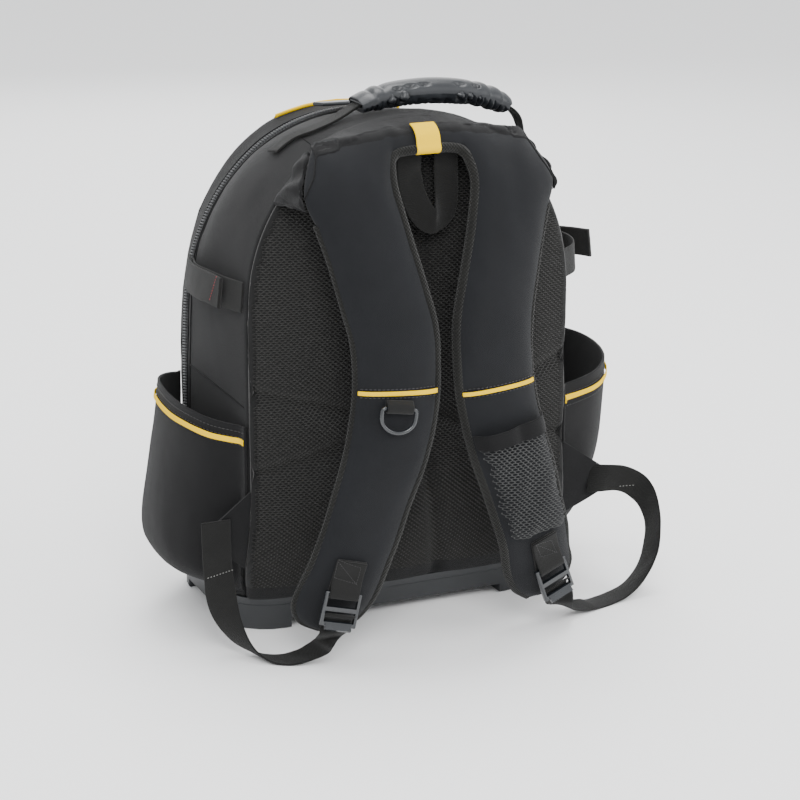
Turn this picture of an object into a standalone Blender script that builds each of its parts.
"""Tool backpack standing on the floor by itself, its harness towards -Y.

Metres, +Z up. The origin is the centre of the moulded tray's footprint, on the floor.
+X is the right-hand side as the harness is looked at, and +Y is the pack's outer front.
"""
import math

import bmesh
import bpy
from mathutils import Matrix, Vector

# Clearances
GAP = 0.0003
SEAM_GAP = 0.0006

# Moulded tray
BASE_WIDTH = 0.300
BASE_DEPTH = 0.170
BASE_HEIGHT = 0.029
BASE_CORNER = 0.046
BASE_WALL = 0.003
BASE_LIP = 0.0012
BASE_LIP_HEIGHT = 0.007
FOOT_HEIGHT = 0.008
FOOT_LENGTH = 0.051
FOOT_WIDTH = 0.045
CENTRE_PAD_WIDTH = 0.120
CENTRE_PAD_DEPTH = 0.060

# Bag
PACK_HEIGHT = 0.438
PACK_HALF_WIDTH = 0.168
PACK_DEPTH = 0.157
REAR_REACH = 0.107
REAR_TUCK = 0.020
TUCK_HEIGHT = 0.090
FRONT_FOOT = 0.018
FRONT_FOOT_HEIGHT = 0.200
SEAT_HEIGHT = 0.070
CLOTH = 0.0024

# Zip
ZIP_PLACE = 0.764
ZIP_WIDTH = 0.0125
ZIP_THICKNESS = 0.0018
ZIP_EASE = 0.0011
SLIDER_LENGTH = 0.016
SLIDER_WIDTH = 0.011
SLIDER_HEIGHT = 0.0045
PULL_LENGTH = 0.050
PULL_WIDTH = 0.012
PULL_THICKNESS = 0.003
PULL_SWING = 30.0
SLIDER_PLACE = 0.022

# Back panel
PANEL_RIM = 0.004
PANEL_PADDING = 0.007
PANEL_BULGE = 0.005
PANEL_EDGE = 0.030

# Front panel
FRONT_CROWN = 0.020
FRONT_EDGE = 0.034

# Side pockets
POCKET_FOOT = 0.037
POCKET_RIM = 0.200
POCKET_REACH = 0.043
POCKET_CLOTH = 0.0022
POCKET_START = 0.006
POCKET_END = 0.97
BAND_HEIGHT = 0.0045
BAND_DROP = 0.011
BAND_THICKNESS = 0.0009

# Harness
STRAP_PADDING = 0.013
STRAP_EDGE = 0.0045
STRAP_ROLL = 0.012
STRAP_CROWN = 0.004
HARNESS_STANDOFF = 0.184

# Webbing and its fittings
WEBBING = 0.025
WEBBING_THICKNESS = 0.0016
LOOP_WEBBING = 0.021
HAUL_SPAN = 0.0325
HAUL_SHIFT = 0.0050
HAUL_DROP = 0.057
HAUL_SEAT = (0.45, 0.60, 0.75)
LOCK_WIDTH = 0.0308
LOCK_LENGTH = 0.029
LOCK_THICKNESS = 0.0042
LOCK_BAR = 0.0036
LOCK_SIDE = 0.0025
LOCK_BEVEL = 0.0008
LOCK_TILT = 16.0
PATCH_LENGTH = 0.024
RING_WIDTH = 0.033
RING_DROP = 0.0200
RING_WIRE = 0.0021
RING_CORNER = 0.0028
RING_EASE = 0.0006
RING_TAB_WIDTH = 0.0222
RING_TAB_LENGTH = 0.0062
RING_ROUND = 0.85
PIPING_RADIUS = 0.0018
PIPING_HALF = 0.057

# Carrying handle
GRIP_WIDTH = 0.030
GRIP_HEIGHT = 0.022
GRIP_SLOT_WIDTH = 0.0262
GRIP_SLOT_HEIGHT = 0.0038
HANDLE_PLACE = {-1: 0.30, 1: 0.10}

# Net pouch
NET = 0.0014
NET_BULGE = 0.007
BINDING_HEIGHT = 0.013

# Body sections, front to back: share of the pack's depth, left and right half widths as shares
# of the half width, height of the shoulder and of the top as shares of the height, squareness
BODY = (
    # depth  left   right  shoulder top    squareness
    (0.000, 0.851, 0.851, 0.662, 1.000, 2.00),
    (0.250, 0.900, 0.950, 0.655, 0.997, 2.15),
    (0.500, 0.930, 1.000, 0.622, 0.982, 2.30),
    (0.764, 0.925, 0.945, 0.556, 0.968, 2.10),
    (1.000, 0.869, 0.869, 0.515, 0.970, 2.30),
)

# Dents and folds of the soft sides: side, height share, depth share, radius and depth as
# shares of the half width
DENTS = (
    # side  height depth   radius  deep
    (-1, 0.74, 0.30, 0.20, 0.030),
    (-1, 0.60, 0.62, 0.16, 0.022),
    (1, 0.78, 0.45, 0.18, 0.024),
    (-1, 0.90, 0.12, 0.10, 0.020),
    (1, 0.50, 0.30, 0.16, 0.016),
)

# Sewn channels of the back panel, the same on both halves: from and to as shares of the half
# width and of the height, width and depth as shares of the padding
CHANNELS = (
    # from_x from_z  to_x   to_z   width  deep
    (1.02, 0.510, 0.33, 0.443, 0.90, 0.75),
    (1.02, 0.345, 0.34, 0.394, 0.90, 0.65),
    (0.34, 0.394, 0.10, 0.430, 0.90, 0.50),
    (0.00, 0.950, 0.00, 0.400, 0.95, 0.80),
    (0.00, 0.400, 0.24, 0.080, 0.90, 0.60),
)

# Side pocket round the bag: share along the mouth, height of the rim as a share of its height,
# left and right reach as shares of the pocket's reach
POCKET = (
    # along  rim    left   right
    (0.00, 0.955, 0.00, 0.00),
    (0.04, 0.958, 0.00, 0.00),
    (0.14, 0.975, 0.52, 0.55),
    (0.26, 1.000, 0.86, 0.90),
    (0.42, 1.020, 1.00, 1.02),
    (0.60, 1.040, 0.98, 1.02),
    (0.76, 1.035, 0.80, 0.92),
    (0.88, 1.020, 0.42, 0.56),
    (0.96, 1.005, 0.00, 0.00),
    (1.00, 1.000, 0.00, 0.00),
)

# The pocket's reach at each height, as a share of that at the mouth
POCKET_RISE = (
    # height left  right
    (0.00, 0.00, 0.00),
    (0.03, 0.30, 0.25),
    (0.08, 0.74, 0.55),
    (0.15, 1.08, 0.76),
    (0.27, 1.14, 0.88),
    (0.50, 0.97, 0.94),
    (0.75, 0.78, 0.98),
    (1.00, 0.64, 1.04),
)

# Harness, half of it, top to tip: step, inner edge x, y, z and outer edge x, y, z; x as shares
# of the half width, y of the stand-off, z of the height
HARNESS = (
    # step inner_x inner_y inner_z outer_x outer_y outer_z
    (0, 0.190, 0.680, 0.984, 0.530, 0.655, 0.966),
    (1, 0.190, 0.770, 0.947, 0.649, 0.800, 0.885),
    (2, 0.220, 0.848, 0.895, 0.601, 0.842, 0.833),
    (3, 0.167, 0.902, 0.804, 0.548, 0.875, 0.765),
    (4, 0.113, 0.935, 0.726, 0.500, 0.908, 0.685),
    (5, 0.054, 0.967, 0.635, 0.464, 0.940, 0.614),
    (6, 0.060, 0.990, 0.516, 0.464, 0.957, 0.525),
    (7, 0.095, 1.000, 0.442, 0.512, 0.973, 0.428),
    (8, 0.143, 1.000, 0.377, 0.577, 0.978, 0.347),
    (9, 0.214, 0.990, 0.308, 0.631, 0.962, 0.274),
    (10, 0.268, 0.989, 0.247, 0.685, 0.935, 0.210),
    (11, 0.321, 0.978, 0.192, 0.723, 0.886, 0.158),
    (12, 0.363, 0.935, 0.128, 0.750, 0.868, 0.121),
    (13, 0.430, 0.895, 0.086, 0.718, 0.858, 0.088),
    (14, 0.515, 0.870, 0.064, 0.620, 0.858, 0.066),
)
HARNESS_STEPS = (
    0, 0.3, 0.6, 1, 1.5, 2, 2.5, 3, 3.6, 4.3, 5, 5.5, 6, 6.5, 7, 7.6, 8.3, 9, 9.6, 10.3, 11,
    11.5, 12, 12.5, 13, 13.5, 14,
)
HARNESS_ACROSS = (0.0, 0.10, 0.25, 0.50, 0.75, 0.90, 1.0)
YOKE_ACROSS = (-1.0, -0.6, -0.25)
YOKE_STEP = 1
BAND_STEP = {-1: 5.90, 1: 6.06}
PATCH_STEP = {-1: 10.62, 1: 10.88}
PATCH_TURN = {-1: 6.0, 1: 0.0}
PATCH_ACROSS = 0.53
RING_STEP = 6.22
RING_ACROSS = 0.52
POUCH_TOP_INNER = 7.20
POUCH_TOP_OUTER = 6.72
POUCH_FOOT_INNER = 10.80
POUCH_FOOT_OUTER = 9.75

# Adjusting webbings from the wing to the ladder lock: step, shares of the way in x and y, height
# as a share of the wing's, then the direction of the width
WEBBING_LEFT = (
    # step x     y      height wide_x wide_y wide_z
    (0, 0.00, 0.000, 1.000, 1.00, 0.00, 0.00),
    (1, 0.00, 0.010, 0.800, 1.00, 0.00, 0.00),
    (2, 0.01, 0.020, 0.600, 1.00, 0.00, 0.00),
    (3, 0.03, 0.060, 0.410, 0.90, -0.40, 0.10),
    (4, 0.08, 0.130, 0.250, 0.65, -0.70, 0.10),
    (5, 0.19, 0.250, 0.105, 0.40, -0.90, 0.05),
    (6, 0.36, 0.385, 0.020, 0.20, -1.00, 0.00),
    (7, 0.55, 0.495, 0.000, 0.15, -1.00, 0.00),
    (8, 0.72, 0.615, 0.040, 0.30, -0.95, 0.00),
    (9, 0.85, 0.760, 0.120, 0.60, -0.80, 0.00),
)
WEBBING_RIGHT = (
    # step x     y      height wide_x wide_y wide_z
    (0, 0.00, 0.000, 1.000, 0.20, -0.05, 1.00),
    (1, -0.19, 0.025, 0.980, 0.25, -0.25, 1.00),
    (2, -0.36, 0.075, 0.900, 0.55, -0.50, 0.70),
    (3, -0.47, 0.135, 0.745, 0.30, -0.90, 0.35),
    (4, -0.505, 0.195, 0.550, 0.05, -1.00, 0.10),
    (5, -0.47, 0.230, 0.355, 0.00, -1.00, 0.05),
    (6, -0.35, 0.270, 0.170, -0.15, -1.00, 0.00),
    (7, -0.145, 0.330, 0.045, -0.20, -0.95, 0.00),
    (8, 0.12, 0.390, 0.000, -0.20, -1.00, 0.00),
    (9, 0.385, 0.500, 0.015, -0.35, -0.95, 0.00),
    (10, 0.615, 0.645, 0.090, -0.60, -0.80, 0.05),
)
WING = {
    # side: tip across as a share of the half width, tip height, seam from and to, shares of height
    -1: (1.042, 0.235, 0.150, 0.313),
    1: (1.107, 0.237, 0.160, 0.327),
}

# Haul loop: step, x as a share of its span, drop as a share of its length, stand-off as a share
# of the harness's, then the direction of the width
HAUL_LOOP = (
    # step x     drop  stand_off wide_x wide_y wide_z
    (1, -0.50, 0.26, 0.712, 1.00, 0.00, 0.00),
    (2, -0.42, 0.60, 0.728, 0.95, -0.10, 0.25),
    (3, -0.20, 0.88, 0.745, 0.75, -0.20, 0.60),
    (4, 0.08, 1.00, 0.755, 0.05, -0.30, 0.95),
    (5, 0.38, 0.86, 0.745, -0.80, -0.10, 0.55),
    (6, 0.48, 0.58, 0.728, -1.00, 0.00, 0.12),
    (7, 0.50, 0.26, 0.712, -1.00, 0.00, 0.00),
)

# Carrying handle over the top: step, x as a share of the half width, y of the rear reach, height,
# then how far the webbing's width leans in x
HANDLE = (
    # step x      y      height lean
    (0, -0.400, 0.660, 0.972, 0.00),
    (1, -0.300, 0.700, 0.990, 0.00),
    (2, -0.200, 0.735, 1.013, 0.00),
    (3, -0.071, 0.738, 1.024, 0.00),
    (4, 0.119, 0.720, 1.030, 0.00),
    (5, 0.310, 0.720, 1.025, 0.00),
    (6, 0.464, 0.729, 1.013, 0.00),
    (7, 0.583, 0.748, 0.993, 0.00),
    (8, 0.643, 0.776, 0.972, 0.00),
    (9, 0.662, 0.800, 0.945, 0.16),
    (10, 0.678, 0.820, 0.915, 0.34),
)
# Sewn ends of its webbing: height, extra lift
HANDLE_ENDS = {
    -1: ((0.925, 0.0), (0.948, 0.0005)),
    1: ((0.846, 0.0), (0.872, 0.0012)),
}
GRIP_START = 1.95
GRIP_END = 7.00
# Rings along the grip: share of its length, share of its full section
GRIP_RINGS = (
    # along  section
    (0.00, 0.70), (0.05, 0.78), (0.09, 0.84), (0.11, 0.74), (0.14, 1.00), (0.18, 1.00), (0.20, 0.82),
    (0.23, 1.02), (0.30, 1.03), (0.45, 1.05), (0.58, 1.05), (0.70, 1.02), (0.72, 0.86), (0.75, 1.01),
    (0.80, 1.00), (0.82, 0.82), (0.85, 1.00), (0.90, 0.96), (0.92, 0.80), (0.95, 0.92), (1.00, 0.74),
)

# Compression webbing and its folded tab on each side: share of the depth, lift off the cloth
SIDE_HEIGHT = 0.683
SIDE_STRAP = {
    -1: ((0.03, 0.0010), (0.16, 0.0050), (0.32, 0.0075), (0.50, 0.0045), (0.66, 0.0010)),
    1: ((0.03, 0.0012), (0.16, 0.0110), (0.32, 0.0120), (0.50, 0.0060), (0.66, 0.0012)),
}
SIDE_TAB = {
    -1: ((0.70, 0.0034), (0.58, 0.0060), (0.42, 0.0105), (0.27, 0.0125), (0.14, 0.0115)),
    1: ((0.70, 0.0034), (0.62, 0.0050), (0.52, 0.0120), (0.43, 0.0220), (0.36, 0.0320)),
}

for leftover in list(bpy.data.objects):
    bpy.data.objects.remove(leftover, do_unlink=True)

PARTS = bpy.data.collections.new("tool_backpack")
CUTTERS = bpy.data.collections.new("tool_backpack_cutters")
bpy.context.scene.collection.children.link(PARTS)
bpy.context.scene.collection.children.link(CUTTERS)


def material(name, colour, roughness, metallic=0.0):
    """A plain finish with the piece's colour."""
    finish = bpy.data.materials.new(name)
    finish.use_nodes = True
    shader = finish.node_tree.nodes["Principled BSDF"]
    shader.inputs["Base Color"].default_value = (*colour, 1.0)
    shader.inputs["Roughness"].default_value = roughness
    shader.inputs["Metallic"].default_value = metallic
    return finish


NYLON = material("black_nylon", (0.022, 0.023, 0.026), 0.80)
AIR_MESH = material("black_air_mesh", (0.030, 0.030, 0.027), 0.85)
MOULDED = material("black_moulded_tray", (0.040, 0.042, 0.045), 0.55)
TAPE = material("black_webbing", (0.028, 0.028, 0.028), 0.70)
YELLOW = material("yellow_trim", (0.90, 0.72, 0.04), 0.60)
BUCKLE = material("black_buckle_plastic", (0.015, 0.017, 0.020), 0.25)
GRIP_RUBBER = material("black_grip_rubber", (0.025, 0.028, 0.032), 0.40)


def add_object(name, mesh, finish, collection=PARTS):
    """Put a mesh in the scene as a named object."""
    item = bpy.data.objects.new(name, mesh)
    collection.objects.link(item)
    if finish is not None:
        mesh.materials.append(finish)
    return item


def mesh_from(name, vertices, faces):
    """A mesh with its faces turned outwards."""
    mesh = bpy.data.meshes.new(name)
    mesh.from_pydata([tuple(vertex) for vertex in vertices], [], faces)
    shape = bmesh.new()
    shape.from_mesh(mesh)
    bmesh.ops.recalc_face_normals(shape, faces=shape.faces)
    shape.to_mesh(mesh)
    shape.free()
    mesh.shade_smooth()
    mesh.set_sharp_from_angle(angle=math.radians(40))
    return mesh


def smooth(table, place):
    """Read a table's columns at a place along its first one, on a smooth curve through its rows."""
    place = min(max(place, table[0][0]), table[-1][0])
    index = max(i for i in range(len(table) - 1) if table[i][0] <= place or i == 0)
    step = table[index + 1][0] - table[index][0]
    t = (place - table[index][0]) / step

    def slope(i, column):
        low, high = max(i - 1, 0), min(i + 1, len(table) - 1)
        return (table[high][column] - table[low][column]) / (table[high][0] - table[low][0])

    return [
        table[index][column] * (2 * t**3 - 3 * t**2 + 1)
        + slope(index, column) * step * (t**3 - 2 * t**2 + t)
        + table[index + 1][column] * (3 * t**2 - 2 * t**3)
        + slope(index + 1, column) * step * (t**3 - t**2)
        for column in range(1, len(table[0]))
    ]


def between(low, high, share):
    """A value at a share of the way from low to high."""
    return low + (high - low) * share


def ease(value):
    """0 to 1, level at both ends."""
    value = min(max(value, 0.0), 1.0)
    return value * value * (3 - 2 * value)


def cloth_wall(name, points, thickness, finish, offset=-1.0):
    """A thin wall of cloth: an open grid of points, thickened inwards from its outer face."""
    across = len(points[0])
    vertices = [point for row in points for point in row]
    faces = [
        (r * across + c, (r + 1) * across + c, (r + 1) * across + c + 1, r * across + c + 1)
        for r in range(len(points) - 1)
        for c in range(across - 1)
    ]
    mesh = bpy.data.meshes.new(name)
    mesh.from_pydata([tuple(vertex) for vertex in vertices], [], faces)
    mesh.shade_smooth()
    item = add_object(name, mesh, finish)
    wall = item.modifiers.new("cloth_thickness", "SOLIDIFY")
    wall.thickness = thickness
    wall.offset = offset
    wall.use_even_offset = False
    return item


def padded_slab(name, front, back, present, finish, mirrored=False):
    """A padded piece between a front and a back grid, in the cells that are present."""
    across = len(front[0])
    count = len(front) * across
    vertices = [point for grid in (front, back) for row in grid for point in row]
    faces = []
    edges = {}
    for r in range(len(front) - 1):
        for c in range(across - 1):
            if not present(r, c):
                continue
            ring = (r * across + c, (r + 1) * across + c, (r + 1) * across + c + 1, r * across + c + 1)
            faces.append(ring)
            faces.append(tuple(corner + count for corner in reversed(ring)))
            for start, end in zip(ring, ring[1:] + ring[:1]):
                edges[(start, end)] = None
    for start, end in edges:
        if (end, start) in edges:
            continue
        if mirrored and abs(vertices[start].x) < GAP and abs(vertices[end].x) < GAP:
            continue
        faces.append((end, start, start + count, end + count))
    used = sorted({corner for face in faces for corner in face})
    renumbered = {old: new for new, old in enumerate(used)}
    faces = [tuple(renumbered[corner] for corner in face) for face in faces]
    vertices = [vertices[old] for old in used]
    if mirrored:
        mesh = bpy.data.meshes.new(name)
        mesh.from_pydata([tuple(vertex) for vertex in vertices], [], faces)
        mesh.shade_smooth()
        item = add_object(name, mesh, finish)
        mirror = item.modifiers.new("other_half", "MIRROR")
        mirror.use_axis = (True, False, False)
        mirror.merge_threshold = 0.0001
        return item
    return add_object(name, mesh_from(name, vertices, faces), finish)


def ring_loft(name, rings, finish, collection=PARTS):
    """A closed body through rings of equal count, capped at both ends."""
    count = len(rings[0])
    vertices = [point for ring in rings for point in ring]
    faces = [
        (r * count + i, r * count + (i + 1) % count, (r + 1) * count + (i + 1) % count, (r + 1) * count + i)
        for r in range(len(rings) - 1)
        for i in range(count)
    ]
    faces.append(tuple(range(count)))
    faces.append(tuple((len(rings) - 1) * count + i for i in range(count)))
    return add_object(name, mesh_from(name, vertices, faces), finish, collection)


def block(name, size, centre, finish=None, collection=PARTS, bevel=0.0):
    """A box from a primitive cube, its size applied, with rounded edges where asked."""
    bpy.ops.mesh.primitive_cube_add(size=1.0, location=(0, 0, 0))
    item = bpy.context.object
    item.name = name
    for owner in list(item.users_collection):
        owner.objects.unlink(item)
    collection.objects.link(item)
    item.data.transform(Matrix.Diagonal((*size, 1.0)))
    item.location = centre
    if finish is not None:
        item.data.materials.append(finish)
    if bevel > 0:
        rounding = item.modifiers.new("rounded_edges", "BEVEL")
        rounding.width = bevel
        rounding.segments = 2
    return item


def cutter(name, size, centre):
    """A box that only cuts."""
    item = block(name, size, centre, collection=CUTTERS)
    item.hide_render = True
    item.display_type = "WIRE"
    return item


def combine(item, other, operation):
    """A Boolean of one object with another."""
    step = item.modifiers.new(other.name, "BOOLEAN")
    step.operation = operation
    step.object = other
    return item


def ribbon(name, route, width, thickness, finish, samples):
    """Webbing that follows a route of middles and width directions."""
    table = [(index, *row) for index, row in enumerate(route)]
    points = []
    for index in range(samples):
        values = smooth(table, (len(route) - 1) * index / (samples - 1))
        middle = Vector(values[:3])
        half = Vector(values[3:]).normalized() * width / 2
        points.append([middle - half, middle + half])
    return cloth_wall(name, points, thickness, finish, offset=0.0)


# Shape of the bag


def section(depth_share, side):
    """Half width, shoulder height, top height and squareness of the bag at a share of its depth."""
    left, right, shoulder, top, square = smooth(BODY, depth_share)
    half = PACK_HALF_WIDTH * (left if side < 0 else right)
    return half, PACK_HEIGHT * shoulder, PACK_HEIGHT * top, square


def rear_y(height):
    """The panel seam's place in depth: it tucks in towards the tray."""
    share = min(max((height - BASE_HEIGHT) / TUCK_HEIGHT, 0.0), 1.0)
    return -REAR_REACH + REAR_TUCK * (1 - share) ** 2


def front_y(height):
    """The front seam's place in depth: it spreads towards the tray."""
    share = min(max((height - BASE_HEIGHT) / FRONT_FOOT_HEIGHT, 0.0), 1.0)
    return PACK_DEPTH - REAR_REACH + FRONT_FOOT * (1 - share) ** 2


def seated(point):
    """Draw the foot of the bag in to the tray's rounded outline."""
    rear = BASE_DEPTH / 2 - PANEL_RIM - SEAM_GAP
    front = BASE_DEPTH / 2 - CLOTH - SEAM_GAP
    core_x = min(max(point.x, BASE_CORNER - BASE_WIDTH / 2), BASE_WIDTH / 2 - BASE_CORNER)
    core_y = min(max(point.y, BASE_CORNER - rear), front - BASE_CORNER)
    away = Vector((point.x - core_x, point.y - core_y, 0))
    if away.length <= BASE_CORNER:
        return point
    target = Vector((core_x, core_y, point.z)) + away.normalized() * BASE_CORNER
    share = min(max((point.z - BASE_HEIGHT) / SEAT_HEIGHT, 0.0), 1.0)
    return point.lerp(target, (1 - share) ** 2)


def side_half_width(half, shoulder, height):
    """Half width below the shoulder: the tray's width, easing out to the section's own."""
    share = (height - BASE_HEIGHT) / (shoulder - BASE_HEIGHT)
    return between(BASE_WIDTH / 2, half, ease(share / 0.40))


def body_point(u, depth_share):
    """The bag's outer face. u runs -1 at the left foot, 0 at the top and 1 at the right foot."""
    side = -1 if u < 0 else 1
    half, shoulder, top, square = section(depth_share, side)
    rise = 1 - abs(u)
    if rise <= 0.5:
        height = between(BASE_HEIGHT + GAP, shoulder, rise / 0.5)
        x = side_half_width(half, shoulder, height)
    else:
        angle = (rise - 0.5) / 0.5 * math.pi / 2
        x = half * max(math.cos(angle), 0.0) ** (2 / square)
        height = between(shoulder, top, math.sin(angle) ** (2 / square))
    y = between(rear_y(height), front_y(height), depth_share)
    for dent_side, dent_height, dent_depth, radius, deep in DENTS:
        if dent_side != side:
            continue
        reach = radius * PACK_HALF_WIDTH
        rise_away = (height - dent_height * PACK_HEIGHT) / reach
        run_away = (depth_share - dent_depth) * PACK_DEPTH / reach
        x -= deep * PACK_HALF_WIDTH * math.exp(-(rise_away**2) - run_away**2) * min(x / half, 1.0)
    return seated(Vector((side * x, y, height)))


def body_normal(u, depth_share):
    """Outward direction of the bag's face."""
    step = 0.002
    low, high = max(depth_share - step, 0.0), min(depth_share + step, 1.0)
    along = body_point(min(u + step, 1.0), depth_share) - body_point(max(u - step, -1.0), depth_share)
    deep = body_point(u, high) - body_point(u, low)
    return along.cross(deep).normalized()


def side_u(height, depth_share, side):
    """The u of a height below the shoulder."""
    shoulder = section(depth_share, side)[1]
    return side * (1 - 0.5 * (height - BASE_HEIGHT - GAP) / (shoulder - BASE_HEIGHT - GAP))


SIDE_RISES = (0.0, 0.07, 0.16, 0.28, 0.42, 0.60, 0.80)
ARCH_RISES = tuple(1 + index / 9 for index in range(10))
HALF_RISES = [rise / 2 for rise in SIDE_RISES + ARCH_RISES]
U_STEPS = [rise - 1 for rise in HALF_RISES] + [1 - rise for rise in reversed(HALF_RISES[:-1])]

ZIP_SHARE = ZIP_WIDTH / 2 / PACK_DEPTH
EASE_SHARE = ZIP_EASE / PACK_DEPTH


def body_grid(start, end, columns, lift=0.0):
    """A grid on the bag between two shares of its depth."""
    rows = []
    for u in U_STEPS:
        row = []
        for index in range(columns + 1):
            share = between(start, end, index / columns)
            row.append(body_point(u, share) + body_normal(u, share) * lift)
        rows.append(row)
    return rows


def make_gussets():
    """The cloth side-and-top walls, with the zip between them."""
    cloth_wall("rear_gusset", body_grid(0.0, ZIP_PLACE - ZIP_SHARE - EASE_SHARE, 6), CLOTH, NYLON)
    cloth_wall("front_gusset", body_grid(ZIP_PLACE + ZIP_SHARE + EASE_SHARE, 1.0, 2), CLOTH, NYLON)
    cloth_wall("zip_chain", body_grid(ZIP_PLACE - ZIP_SHARE, ZIP_PLACE + ZIP_SHARE, 1), ZIP_THICKNESS, TAPE)


# Back and front panels


def panel_place(across, up, depth_share):
    """A point in the plane of a panel seam, from shares across and up, before its own depth."""
    side = -1 if across < 0 else 1
    half, shoulder, top, square = section(depth_share, side)
    arch = shoulder + (top - shoulder) * (1 - min(abs(across), 1.0) ** square) ** (1 / square)
    height = between(BASE_HEIGHT + GAP, arch, up)
    x = across * side_half_width(half, shoulder, min(height, shoulder))
    return x, height, arch


def edge_rise(across, up, half, arch, reach):
    """0 at the panel's edge and 1 a reach inside it."""
    distance = min((1 - abs(across)) * half, up * arch, (1 - up) * arch)
    return math.sin(min(distance / reach, 1.0) * math.pi / 2)


def channel_depth(x, height):
    """How deep the sewn channels press the padding in at a place."""
    deep = 0.0
    half = PACK_HALF_WIDTH * BODY[0][1]
    for from_x, from_z, to_x, to_z, width, share in CHANNELS:
        start = Vector((from_x * half, from_z * PACK_HEIGHT))
        line = Vector((to_x * half, to_z * PACK_HEIGHT)) - start
        here = Vector((abs(x), height)) - start
        along = min(max(here.dot(line) / line.length_squared, 0.0), 1.0)
        away = (here - line * along).length / (width * PANEL_PADDING)
        deep = max(deep, share * PANEL_PADDING * math.exp(-away * away))
    return deep


PANEL_ACROSS = [math.sin(math.pi / 2 * index / 7) for index in range(-7, 8)]
PANEL_UP = [index / 17 for index in range(18)]


def panel_thickness(across, up):
    """Padding of the back panel: thin at its rim, full inside, pressed in at the channels."""
    x, height, arch = panel_place(across, up, 0.0)
    rise = edge_rise(across, up, PACK_HALF_WIDTH * BODY[0][1], arch, PANEL_EDGE)
    belly = PANEL_BULGE * (1 - across * across) * math.sin(math.pi * min(max(up, 0.0), 1.0)) ** 0.5
    return PANEL_RIM + (PANEL_PADDING + belly - channel_depth(x, height)) * rise


def make_back_panel():
    """The padded panel against the wearer's back, seated on the rear gusset's rim."""
    front, back = [], []
    for up in PANEL_UP:
        outer_row, inner_row = [], []
        for across in PANEL_ACROSS:
            x, height, _ = panel_place(across, up, 0.0)
            inner = seated(Vector((x, rear_y(height), height))) + Vector((0, -SEAM_GAP, 0))
            inner_row.append(inner)
            outer_row.append(inner + Vector((0, -panel_thickness(across, up), 0)))
        front.append(outer_row)
        back.append(inner_row)
    padded_slab("back_panel", front, back, lambda r, c: True, AIR_MESH)


def make_front_panel():
    """The crowned cloth front, seated on the front gusset's rim."""
    rows = []
    for up in [index / 11 for index in range(12)]:
        row = []
        for across in [math.sin(math.pi / 2 * index / 6) for index in range(-6, 7)]:
            x, height, arch = panel_place(across, up, 1.0)
            rise = edge_rise(across, up, PACK_HALF_WIDTH * BODY[-1][1], arch, FRONT_EDGE)
            seat = seated(Vector((x, front_y(height), height)))
            row.append(seat + Vector((0, SEAM_GAP + CLOTH + FRONT_CROWN * rise * rise, 0)))
        rows.append(row)
    cloth_wall("front_panel", rows, CLOTH, NYLON)


# Tray


def rounded_ring(inset, height, steps=6):
    """The tray's outline, inset, at a height."""
    half_x, half_y = BASE_WIDTH / 2 - inset, BASE_DEPTH / 2 - inset
    radius = BASE_CORNER - inset
    ring = []
    for corner, (sx, sy) in enumerate(((1, 1), (-1, 1), (-1, -1), (1, -1))):
        for step in range(steps + 1):
            angle = math.radians(90) * (corner + step / steps)
            ring.append(
                Vector((
                    sx * (half_x - radius) + radius * math.cos(angle),
                    sy * (half_y - radius) + radius * math.sin(angle),
                    height,
                ))
            )
    return ring


def make_tray():
    """The moulded tray: a lipped wall, a floor, four corner feet and a centre pad."""
    floor = FOOT_HEIGHT + BASE_WALL
    lip = BASE_HEIGHT - BASE_LIP_HEIGHT
    rings = [
        rounded_ring(BASE_LIP * 2, 0),
        rounded_ring(BASE_LIP, BASE_LIP),
        rounded_ring(BASE_LIP, lip),
        rounded_ring(0, lip + BASE_LIP),
        rounded_ring(0, BASE_HEIGHT),
        rounded_ring(BASE_WALL, BASE_HEIGHT),
        rounded_ring(BASE_WALL, floor),
    ]
    tray = ring_loft("base_tray", rings, MOULDED)
    channel_x = BASE_WIDTH - 2 * FOOT_LENGTH
    channel_y = BASE_DEPTH - 2 * FOOT_WIDTH
    under = (0, 0, FOOT_HEIGHT / 2 - BASE_WALL)
    tall = FOOT_HEIGHT + 2 * BASE_WALL
    recess = cutter("recess_between_feet", (channel_x, BASE_DEPTH * 1.2, tall), under)
    side_recess = cutter("recess_at_sides", (BASE_WIDTH * 1.2, channel_y, tall), under)
    pad = cutter("centre_pad_keep", (CENTRE_PAD_WIDTH, CENTRE_PAD_DEPTH, tall * 2), under)
    combine(recess, side_recess, "UNION")
    combine(recess, pad, "DIFFERENCE")
    combine(tray, recess, "DIFFERENCE")


# Side pockets


def pocket_point(side, along, rise):
    """A side pocket's outer face, from shares along its mouth and up to its rim."""
    rim, left, right = smooth(POCKET, along)
    column = 0 if side < 0 else 1
    height = between(POCKET_FOOT, POCKET_RIM * rim, rise)
    depth_share = between(POCKET_START, POCKET_END, along)
    u = side_u(height, depth_share, side)
    out = body_normal(u, depth_share)
    out.z = 0
    out.normalize()
    reach = POCKET_REACH * max((left, right)[column], 0.0) * max(smooth(POCKET_RISE, rise)[column], 0.0)
    return body_point(u, depth_share) + out * (POCKET_CLOTH + 5 * GAP + reach)


def pocket_face(side, along, rise, lift):
    """A point lifted off a side pocket's outer face."""
    step = 0.004
    run = pocket_point(side, min(along + step, 1), rise) - pocket_point(side, max(along - step, 0), rise)
    climb = pocket_point(side, along, min(rise + step, 1)) - pocket_point(side, along, max(rise - step, 0))
    out = climb.cross(run) if side < 0 else run.cross(climb)
    return pocket_point(side, along, rise) + out.normalized() * lift


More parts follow.
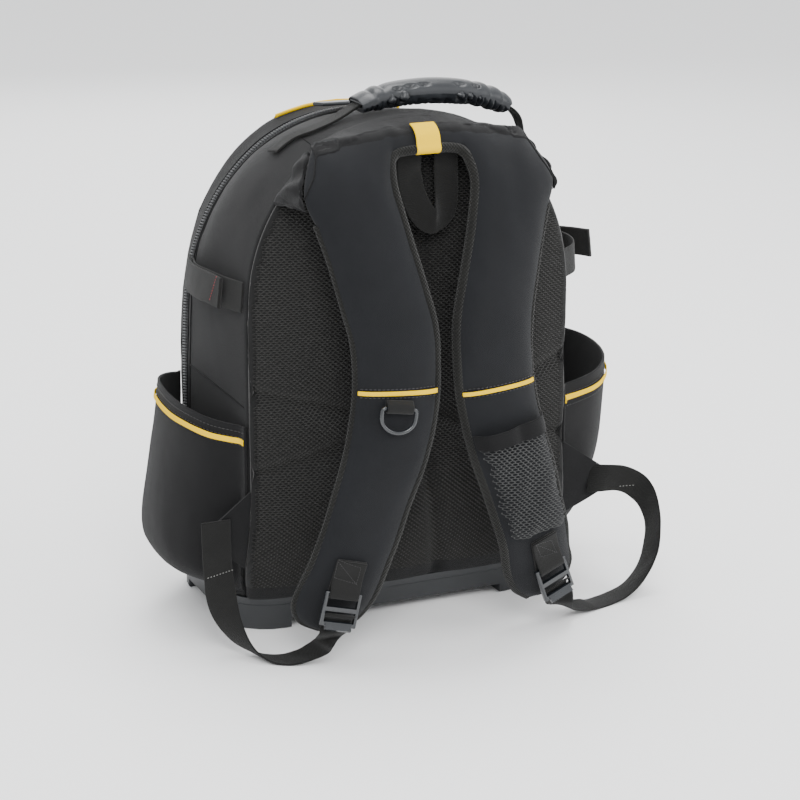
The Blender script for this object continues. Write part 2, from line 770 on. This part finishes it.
POCKET_ALONG = (0, 0.04, 0.09, 0.15, 0.22, 0.32, 0.42, 0.52, 0.62, 0.71, 0.79, 0.87, 0.92, 0.96, 1)
POCKET_HEIGHT = POCKET_RIM - POCKET_FOOT
BAND_TOP = 1 - BAND_DROP / POCKET_HEIGHT
BAND_FOOT = BAND_TOP - BAND_HEIGHT / POCKET_HEIGHT
POCKET_UP = (0, 0.035, 0.09, 0.17, 0.29, 0.50, 0.70, BAND_FOOT, BAND_TOP, 1)


def oriented(rows, side):
    """Turn a grid's rows so that its faces look outwards on either side."""
    return rows if side < 0 else [list(reversed(row)) for row in rows]


def make_pockets():
    """Both side pockets, open at the top, with the yellow band sewn below each rim."""
    for side, name in ((-1, "left"), (1, "right")):
        rows = [[pocket_point(side, along, rise) for along in POCKET_ALONG] for rise in POCKET_UP]
        cloth_wall("pocket_" + name, oriented(rows, side), POCKET_CLOTH, NYLON)
        lift = BAND_THICKNESS + 2 * GAP
        rows = [
            [pocket_face(side, along, rise, lift) for along in POCKET_ALONG]
            for rise in (BAND_FOOT, BAND_TOP)
        ]
        cloth_wall("pocket_band_" + name, oriented(rows, side), BAND_THICKNESS, YELLOW)


# Harness


def harness_edges(step):
    """Inner and outer edge of the right half of the harness at a step down its length."""
    values = smooth(HARNESS, step)
    scale = Vector((PACK_HALF_WIDTH, -HARNESS_STANDOFF, PACK_HEIGHT))
    return Vector(values[:3]) * scale, Vector(values[3:]) * scale


def harness_middle(step, across):
    """The middle of the padding. Across is -1 at the centre line, 0 and 1 at the strap's edges."""
    inner, outer = harness_edges(step)
    if across < 0:
        centre = Vector((0, inner.y, inner.z + 0.0015))
        return inner.lerp(centre, -across)
    bow = STRAP_CROWN * 4 * across * (1 - across)
    return inner.lerp(outer, across) + Vector((0, -bow, 0))


def harness_normal(step, across):
    """The direction in which the padding faces, away from the bag."""
    small = 0.02
    down = harness_middle(min(step + small, 14), across) - harness_middle(max(step - small, 0), across)
    low = across - small if across > 0 else across
    sideways = harness_middle(step, min(across + small, 1)) - harness_middle(step, low)
    return down.cross(sideways).normalized()


def padding_share(step, across):
    """0 at the harness's edges and 1 where its padding is full."""
    inner, outer = harness_edges(step)
    width = (outer - inner).length
    top = step * (harness_edges(1)[0] - harness_edges(0)[0]).length
    tip = (14 - step) * 0.012
    if across < 0:
        distance = min(top, (YOKE_STEP - step) * 0.030)
    else:
        inner_distance = across * width
        if step < YOKE_STEP:
            inner_distance = math.hypot(inner_distance, (YOKE_STEP - step) * 0.030)
        distance = min(inner_distance, (1 - across) * width, top, tip)
    return math.sin(min(max(distance, 0.0) / STRAP_ROLL, 1.0) * math.pi / 2)


def harness_face(step, across, lift=0.0):
    """A point on the harness's outer face, or lifted off it."""
    half = between(STRAP_EDGE, STRAP_PADDING, padding_share(step, across)) / 2
    return harness_middle(step, across) + harness_normal(step, across) * (half + lift)


def mirrored_point(point, side):
    """The same point on the left or right strap."""
    return Vector((point.x * side, point.y, point.z))


def make_harness():
    """Yoke and both shoulder straps in one padded piece."""
    columns = YOKE_ACROSS + HARNESS_ACROSS
    front, back = [], []
    for step in HARNESS_STEPS:
        front_row, back_row = [], []
        for across in columns:
            middle = harness_middle(step, across)
            outward = harness_normal(step, across)
            if across == -1:
                outward = Vector((0, outward.y, outward.z)).normalized()
            half = between(STRAP_EDGE, STRAP_PADDING, padding_share(step, across)) / 2
            front_row.append(middle + outward * half)
            back_row.append(middle - outward * half)
        front.append(front_row)
        back.append(back_row)
    yoke_rows = HARNESS_STEPS.index(YOKE_STEP)
    yoke_columns = len(YOKE_ACROSS)
    padded_slab(
        "harness", front, back, lambda r, c: r < yoke_rows or c >= yoke_columns, NYLON, mirrored=True
    )


def strap_strip(name, side, steps, acrosses, lift, thickness, finish):
    """A thin piece sewn on a strap: it follows the strap's outer face."""
    rows = [
        [mirrored_point(harness_face(step, across, lift), side) for across in acrosses]
        for step in steps
    ]
    cloth_wall(name, oriented(rows, -side), thickness, finish)


BAND_ACROSS = (0.02, 0.10, 0.25, 0.5, 0.75, 0.90, 0.98)


def make_strap_bands():
    """The yellow bands across both straps."""
    share = BAND_HEIGHT / (harness_edges(5)[0] - harness_edges(6)[0]).length
    for side, name in ((-1, "left"), (1, "right")):
        steps = (BAND_STEP[side], BAND_STEP[side] + share)
        lift = BAND_THICKNESS + 2 * GAP
        strap_strip("strap_band_" + name, side, steps, BAND_ACROSS, lift, BAND_THICKNESS, YELLOW)


# Fittings on the straps


def strap_frame(side, step, across, lift):
    """A placement on a strap: x to the right, y down the strap and z out of its face."""
    origin = mirrored_point(harness_face(step, across, lift), side)
    outward = mirrored_point(harness_normal(step, across), side)
    below = mirrored_point(harness_middle(min(step + 0.3, 14), across), side)
    above = mirrored_point(harness_middle(max(step - 0.3, 0), across), side)
    down = (below - above)
    down = (down - outward * down.dot(outward)).normalized()
    sideways = down.cross(outward)
    frame = Matrix((sideways, down, outward)).transposed().to_4x4()
    frame.translation = origin
    return frame


def framed_ribbon(name, frame, profile, width, samples, finish=TAPE):
    """Webbing bent along a profile of down and out places in a frame, straight across."""
    table = [(index, down, out) for index, (down, out) in enumerate(profile)]
    points = []
    for index in range(samples):
        down, out = smooth(table, (len(profile) - 1) * index / (samples - 1))
        points.append([frame @ Vector((edge * width / 2, down, out)) for edge in (-1, 1)])
    return cloth_wall(name, points, WEBBING_THICKNESS, finish, offset=0.0)


def make_d_ring():
    """The D-ring on the left strap, free to swing in its folded tab."""
    wrap = RING_WIRE + RING_EASE + WEBBING_THICKNESS / 2
    seat = GAP + WEBBING_THICKNESS / 2
    bar_lift = seat + wrap
    frame = strap_frame(-1, RING_STEP, RING_ACROSS, bar_lift)
    under, over = seat - bar_lift, seat + WEBBING_THICKNESS + 2 * GAP - bar_lift
    profile = [(-RING_TAB_LENGTH, under), (-RING_TAB_LENGTH / 2, under)]
    for angle in (-90, -45, 0, 45, 90, 130):
        turn = math.radians(angle)
        profile.append((wrap * math.cos(turn), wrap * math.sin(turn)))
    profile += [(-RING_TAB_LENGTH * 0.74, between(over, wrap, 0.36)), (-RING_TAB_LENGTH, over)]
    framed_ribbon("d_ring_tab", frame, profile, RING_TAB_WIDTH, 25)

    half = RING_WIDTH / 2 - RING_WIRE
    corner = RING_CORNER
    bow = half
    points = []
    for turn_step in range(4):
        angle = math.radians(90 + 30 * turn_step)
        points.append((corner - half + corner * math.cos(angle), corner - corner * math.sin(angle)))
    for turn_step in range(11):
        angle = math.radians(180 - 18 * turn_step)
        points.append((bow * math.cos(angle), RING_DROP - bow * RING_ROUND * (1 - math.sin(angle))))
    for turn_step in range(4):
        angle = math.radians(30 * turn_step)
        points.append((half - corner + corner * math.cos(angle), corner - corner * math.sin(angle)))
    curve = bpy.data.curves.new("d_ring", "CURVE")
    curve.dimensions = "3D"
    curve.bevel_depth = RING_WIRE
    curve.bevel_resolution = 1
    spline = curve.splines.new("POLY")
    spline.points.add(len(points) - 1)
    for knot, (sideways, down) in zip(spline.points, points):
        knot.co = (sideways, down, 0, 1)
    spline.use_cyclic_u = True
    curve.materials.append(BUCKLE)
    ring = bpy.data.objects.new("d_ring", curve)
    PARTS.objects.link(ring)
    ring.matrix_world = frame
    return frame


def make_lock(side, name):
    """A ladder lock on its folded tab at the foot of a strap. Returns the lock's placement."""
    seat = GAP + WEBBING_THICKNESS / 2
    corner = math.hypot(LOCK_BAR / 2, LOCK_THICKNESS / 2 - LOCK_BEVEL)
    wrap = corner + 2 * GAP + WEBBING_THICKNESS / 2
    bar_out = seat + wrap
    frame = strap_frame(side, PATCH_STEP[side], PATCH_ACROSS, 0)
    frame = frame @ Matrix.Rotation(math.radians(PATCH_TURN[side]), 4, "Z")
    over = seat + WEBBING_THICKNESS + 2 * GAP
    bar_down = PATCH_LENGTH / 2 + LOCK_BAR * 1.6
    profile = [(-PATCH_LENGTH / 2, seat), (0, seat), (PATCH_LENGTH * 0.35, seat)]
    for angle in (-90, -45, 0, 45, 90):
        turn = math.radians(angle)
        profile.append((bar_down + wrap * math.cos(turn), bar_out + wrap * math.sin(turn)))
    profile.append((PATCH_LENGTH * 0.42, between(over, bar_out + wrap, 0.45)))
    profile += [(0, over), (-PATCH_LENGTH / 2, over)]
    framed_ribbon("lock_tab_" + name, frame, profile, WEBBING, 28)

    lock_frame = frame @ Matrix.Translation((0, bar_down, bar_out))
    lock_frame = lock_frame @ Matrix.Rotation(math.radians(LOCK_TILT), 4, "X")
    lock_frame = lock_frame @ Matrix.Translation((0, (LOCK_LENGTH - LOCK_BAR) / 2, 0))
    slot_height = (LOCK_LENGTH - 3 * LOCK_BAR) / 2
    slot_width = LOCK_WIDTH - 2 * LOCK_SIDE
    size = (LOCK_WIDTH, LOCK_LENGTH, LOCK_THICKNESS)
    lock = block("ladder_lock_" + name, size, (0, 0, 0), BUCKLE, bevel=LOCK_BEVEL)
    lock.matrix_world = lock_frame
    for place, label in ((-1, "upper"), (1, "lower")):
        slot = cutter(f"{label}_slot_{name}", (slot_width, slot_height, LOCK_THICKNESS * 2), (0, 0, 0))
        slot.matrix_world = lock_frame @ Matrix.Translation((0, place * (slot_height + LOCK_BAR) / 2, 0))
        combine(lock, slot, "DIFFERENCE")
    lip_size = (LOCK_WIDTH * 0.72, LOCK_BAR * 2.1, LOCK_THICKNESS * 0.75)
    lip = block(f"thumb_lip_{name}", lip_size, (0, 0, 0), collection=CUTTERS)
    lip.hide_render = True
    lip.display_type = "WIRE"
    lip.matrix_world = (
        lock_frame
        @ Matrix.Translation((0, LOCK_LENGTH / 2 - LOCK_BAR * 0.15, LOCK_THICKNESS * 0.45))
        @ Matrix.Rotation(math.radians(32), 4, "X")
    )
    combine(lock, lip, "UNION")
    return lock_frame, slot_height


def body_at(height, depth_share, side):
    """The place on the bag's face at a height, as u."""
    low, high = 0.0, 1.0
    for _ in range(26):
        middle = (low + high) / 2
        if body_point(side * middle, depth_share).z > height:
            low = middle
        else:
            high = middle
    return side * (low + high) / 2


def make_webbing(side, name, table, lock_frame, slot_height):
    """A cloth wing in the panel seam and the adjusting webbing from it to the ladder lock."""
    tip_across, tip_height, seam_foot, seam_top = WING[side]
    tip = Vector((side * tip_across * PACK_HALF_WIDTH, -REAR_REACH - SEAM_GAP - PANEL_RIM / 2, 0))
    rows = []
    for share in (0.0, 0.33, 0.67, 1.0):
        height = between(seam_foot, seam_top, share) * PACK_HEIGHT
        seam = body_point(body_at(height, 0.0, side), 0.0)
        seam += Vector((side * 3 * GAP, -SEAM_GAP - PANEL_RIM / 2, 0))
        end = Vector((tip.x, tip.y, tip_height * PACK_HEIGHT + (share - 0.5) * WEBBING * 0.8))
        rows.append([seam.lerp(end, along) for along in (0, 0.25, 0.5, 0.75, 1)])
    cloth_wall("wing_" + name, oriented(rows, -side), CLOTH, NYLON, offset=0.0)

    start = tip + Vector((0, -CLOTH / 2 - GAP - WEBBING_THICKNESS / 2 - GAP, 0))
    start.z = tip_height * PACK_HEIGHT + (WEBBING * 0.55 if side < 0 else 0)
    slot = Matrix.Translation((0, (slot_height + LOCK_BAR) / 2, 0))
    end = (lock_frame @ slot).translation
    floor = WEBBING_THICKNESS / 2 + GAP
    route = []
    for _, x, y, height, *wide in table:
        middle = Vector((between(start.x, end.x, x), between(start.y, end.y, y), 0))
        middle.z = between(floor, start.z, height)
        route.append((*middle, *wide))
    wide = (lock_frame.to_3x3() @ Vector((-side, 0, 0)))
    bar_edge = slot_height / 2 + LOCK_BAR
    clear = LOCK_THICKNESS / 2 + WEBBING_THICKNESS
    for down, out in (
        (bar_edge + LOCK_BAR, -clear - 2 * GAP), (slot_height / 2, -clear - 2 * GAP),
        (slot_height * 0.12, -LOCK_THICKNESS * 0.3), (-slot_height * 0.1, LOCK_THICKNESS * 0.45),
    ):
        place = (lock_frame @ slot @ Matrix.Translation((0, down, out))).translation
        route.append((*place, *wide))
    ribbon("webbing_" + name, route, WEBBING, WEBBING_THICKNESS, TAPE, 36)


def make_fittings():
    """Locks, tabs and webbings of both straps."""
    for side, name, table in ((-1, "left", WEBBING_LEFT), (1, "right", WEBBING_RIGHT)):
        lock_frame, slot_height = make_lock(side, name)
        make_webbing(side, name, table, lock_frame, slot_height)


def pouch_place(down, across, lift):
    """A point on the net pouch, which bulges off the right strap."""
    top = between(POUCH_TOP_INNER, POUCH_TOP_OUTER, across)
    foot = between(POUCH_FOOT_INNER, POUCH_FOOT_OUTER, across)
    edge = ease(min(across, 1 - across) / 0.16) * ease((1 - down) / 0.14)
    fold = 0.55 * math.exp(-((across - 0.58 + 0.10 * down) / 0.07) ** 2)
    return harness_face(between(top, foot, down), across, GAP + lift + NET_BULGE * edge * (1 - fold))


def make_pouch():
    """The net pouch on the right strap and the binding along its open top."""
    acrosses = (0.03, 0.09, 0.17, 0.28, 0.40, 0.49, 0.57, 0.66, 0.80, 0.90, 0.97)
    downs = (0, 0.04, 0.11, 0.24, 0.42, 0.60, 0.78, 0.88, 0.95, 1)
    rows = [[pouch_place(down, across, NET + GAP) for across in acrosses] for down in downs]
    cloth_wall("mesh_pouch", rows, NET, TAPE)
    binding = BINDING_HEIGHT / ((POUCH_FOOT_INNER - POUCH_TOP_INNER) * 0.031)
    lift = 2 * NET + 4 * GAP
    rows = [
        [pouch_place(down * binding, across, lift) for across in acrosses] for down in (-0.02, 0.5, 1.0)
    ]
    cloth_wall("pouch_binding", rows, NET, NYLON)


def yoke_back(x, step):
    """A place against the yoke's back, where the haul loop's webbing is sewn."""
    inner = harness_edges(step)[0]
    across = abs(x) / inner.x - 1
    half = between(STRAP_EDGE, STRAP_PADDING, padding_share(step, across)) / 2
    lift = half + 5 * GAP + WEBBING_THICKNESS / 2
    place = harness_middle(step, across) - harness_normal(step, across) * lift
    return mirrored_point(place, 1 if x > 0 else -1)


def make_yoke_trim():
    """The yellow patch folded over the top of the opening, and the haul loop behind it."""
    front = [harness_face(step, -1.0, 2 * GAP + WEBBING_THICKNESS / 2) for step in (0.12, 0.4, 0.7, 0.95)]
    under = harness_middle(1.0, -1.0)
    normal = harness_normal(1.0, -1.0)
    wrap = STRAP_EDGE / 2 + 3 * GAP + WEBBING_THICKNESS / 2
    down = Vector((0, -normal.z, normal.y)).normalized() * -1
    if down.z > 0:
        down = -down
    points = front + [
        under + (normal + down * 0.9).normalized() * wrap * 1.12,
        under + down * wrap,
        under + (down * 0.9 - normal).normalized() * wrap * 1.12,
    ]
    table = [(index, *point) for index, point in enumerate(points)]
    rows = []
    for index in range(15):
        _, y, z = smooth(table, (len(points) - 1) * index / 14)
        rows.append([Vector((edge * LOOP_WEBBING / 2, y, z)) for edge in (-1, 1)])
    cloth_wall("yoke_patch", rows, WEBBING_THICKNESS, YELLOW, offset=0.0)

    top = harness_middle(1.0, -1.0).z - STRAP_EDGE
    left, right = HAUL_SHIFT - HAUL_SPAN / 2, HAUL_SHIFT + HAUL_SPAN / 2
    route = [(*yoke_back(left, step), 1, 0, 0) for step in HAUL_SEAT]
    for _, x, drop, stand_off, *wide in HAUL_LOOP:
        place = (x * HAUL_SPAN + HAUL_SHIFT, -stand_off * HARNESS_STANDOFF, top - drop * HAUL_DROP)
        route.append((*place, *wide))
    route += [(*yoke_back(right, step), -1, 0, 0) for step in reversed(HAUL_SEAT)]
    ribbon("haul_loop", route, LOOP_WEBBING, WEBBING_THICKNESS, TAPE, 25)


def make_side_straps():
    """Compression webbing and a folded tab on each side."""
    for side, name in ((-1, "left"), (1, "right")):
        for label, table, thick in (("side_strap_", SIDE_STRAP, 1), ("side_tab_", SIDE_TAB, 2)):
            route = []
            for depth_share, lift in table[side]:
                u = body_at(SIDE_HEIGHT * PACK_HEIGHT, depth_share, side)
                outward = body_normal(u, depth_share)
                down = Vector((0, 0, 1)) - outward * outward.z
                middle = body_point(u, depth_share) + outward * (lift + GAP)
                route.append((*middle, *down))
            ribbon(label + name, route, WEBBING, thick * WEBBING_THICKNESS, TAPE, 15)


def make_zip_pull():
    """The slider on the chain and its bare pull tag, lying on the bag's top."""
    u = SLIDER_PLACE
    slider_size = (SLIDER_LENGTH, SLIDER_WIDTH, SLIDER_HEIGHT)
    slider = block("zip_slider", slider_size, (0, 0, 0), BUCKLE, bevel=0.0010)
    outward = body_normal(u, ZIP_PLACE)
    along = Vector((outward.z, 0, -outward.x)).normalized()
    frame = Matrix((along, outward.cross(along), outward)).transposed().to_4x4()
    frame.translation = body_point(u, ZIP_PLACE) + outward * (SLIDER_HEIGHT / 2 + 2 * GAP)
    slider.matrix_world = frame
    tag = block("zip_pull", (PULL_LENGTH, PULL_WIDTH, PULL_THICKNESS), (0, 0, 0), GRIP_RUBBER, bevel=0.0009)
    swing = math.radians(PULL_SWING)
    hinge = Matrix.Translation((-SLIDER_LENGTH / 2, 0, SLIDER_HEIGHT / 2))
    offset = Matrix.Translation((-PULL_WIDTH / 2 * math.tan(swing) - 2 * GAP - PULL_LENGTH / 2, 0, 0))
    tag.matrix_world = frame @ hinge @ Matrix.Rotation(swing, 4, "Z") @ offset


def make_top_piping():
    """The yellow piping along the top of the front seam."""
    share = 1 - (PIPING_RADIUS + CLOTH) / PACK_DEPTH
    points = []
    for u in U_STEPS:
        point = body_point(u, share)
        if abs(point.x) > PIPING_HALF * 1.15 or point.z < PACK_HEIGHT / 2:
            continue
        points.append(point + body_normal(u, share) * (PIPING_RADIUS + 2 * GAP))
    curve = bpy.data.curves.new("top_piping", "CURVE")
    curve.dimensions = "3D"
    curve.bevel_depth = PIPING_RADIUS
    curve.bevel_resolution = 2
    curve.use_fill_caps = True
    spline = curve.splines.new("POLY")
    spline.points.add(len(points) - 1)
    for knot, point in zip(spline.points, points):
        knot.co = (*point, 1)
    curve.materials.append(YELLOW)
    PARTS.objects.link(bpy.data.objects.new("top_piping", curve))


def handle_middle(step):
    """The middle of the handle's webbing."""
    x, y, height, _ = smooth(HANDLE, step)
    return Vector((x * PACK_HALF_WIDTH, -y * REAR_REACH, height * PACK_HEIGHT))


def handle_end(side, height, extra):
    """A row of the handle's webbing where it is sewn to the bag: a place and the width's direction."""
    place = HANDLE_PLACE[side]
    u = body_at(height * PACK_HEIGHT, place, side)
    lift = WEBBING_THICKNESS / 2 + 3 * GAP + extra
    middle = body_point(u, place) + body_normal(u, place) * lift
    return (*middle, *(body_point(u, place + 0.06) - body_point(u, place - 0.06)))


def make_handle():
    """Webbing sewn to the shoulders of the bag, and the moulded grip that slides on it."""
    ends = {}
    for side in (-1, 1):
        ends[side] = [handle_end(side, height, extra) for height, extra in HANDLE_ENDS[side]]
    free = [(*handle_middle(row[0]), row[4], 1, 0) for row in HANDLE]
    rows = ends[-1] + free + ends[1][::-1]
    ribbon("handle_strap", rows, WEBBING, WEBBING_THICKNESS, TAPE, 38)

    outer, inner = [], []
    sides = 10
    for along, size in GRIP_RINGS:
        step = between(GRIP_START, GRIP_END, along)
        middle = handle_middle(step)
        run = (handle_middle(step + 0.05) - handle_middle(step - 0.05)).normalized()
        wide = Vector((0, 1, 0))
        up = run.cross(wide).normalized()
        if up.z < 0:
            up = -up
        outer_ring, inner_ring = [], []
        for corner in range(sides):
            angle = 2 * math.pi * (corner + 0.5) / sides
            cosine, sine = math.cos(angle), math.sin(angle)
            outer_ring.append(middle + wide * cosine * GRIP_WIDTH / 2 + up * sine * GRIP_HEIGHT / 2 * size)
            slot_x = math.copysign(abs(cosine) ** 0.3, cosine) * GRIP_SLOT_WIDTH / 2
            slot_z = math.copysign(abs(sine) ** 0.3, sine) * GRIP_SLOT_HEIGHT / 2
            inner_ring.append(middle + wide * slot_x + up * slot_z)
        outer.append(outer_ring)
        inner.append(inner_ring)
    count = sides * len(outer)
    faces = []
    for r in range(len(outer) - 1):
        for i in range(sides):
            here, onward = r * sides + i, r * sides + (i + 1) % sides
            ring = (here, onward, onward + sides, here + sides)
            faces.append(ring)
            faces.append(tuple(count + corner for corner in reversed(ring)))
    for r in (0, len(outer) - 1):
        for i in range(sides):
            start, end = r * sides + i, r * sides + (i + 1) % sides
            faces.append((start, end, count + end, count + start))
    vertices = [point for rings in (outer, inner) for ring in rings for point in ring]
    add_object("handle_grip", mesh_from("handle_grip", vertices, faces), GRIP_RUBBER)


def make_shoulder_webs():
    """Gathered cloth that joins each strap's outer edge to the bag at the shoulder."""
    for side, name in ((-1, "left"), (1, "right")):
        rows = []
        for index in range(9):
            share = index / 8
            step = between(0.15, 1.45, share)
            edge = harness_middle(step, 1.0)
            edge += (edge - harness_middle(step, 0.9)).normalized() * (CLOTH / 2 + 3 * GAP)
            strap = mirrored_point(edge, side)
            u = body_at(between(0.915, 0.855, share) * PACK_HEIGHT, 0.0, side)
            seam = body_point(u, 0.0) + body_normal(u, 0.0) * (CLOTH / 2 + 3 * GAP)
            seam += Vector((0, -SEAM_GAP - PANEL_RIM / 2, 0))
            gather = math.sin(share * math.pi * 4) * 0.0022
            row = []
            for along in (0.0, 0.33, 0.67, 1.0):
                point = strap.lerp(seam, along)
                bulge = math.sin(math.pi * along)
                row.append(point + Vector((side * (0.003 + gather) * bulge, 0, (0.002 + gather) * bulge)))
            rows.append(row)
        cloth_wall("shoulder_web_" + name, oriented(rows, -side), CLOTH, NYLON, offset=0.0)


make_tray()
make_gussets()
make_back_panel()
make_front_panel()
make_top_piping()
make_zip_pull()
make_pockets()
make_side_straps()
make_harness()
make_shoulder_webs()
make_strap_bands()
make_yoke_trim()
make_d_ring()
make_pouch()
make_fittings()
make_handle()
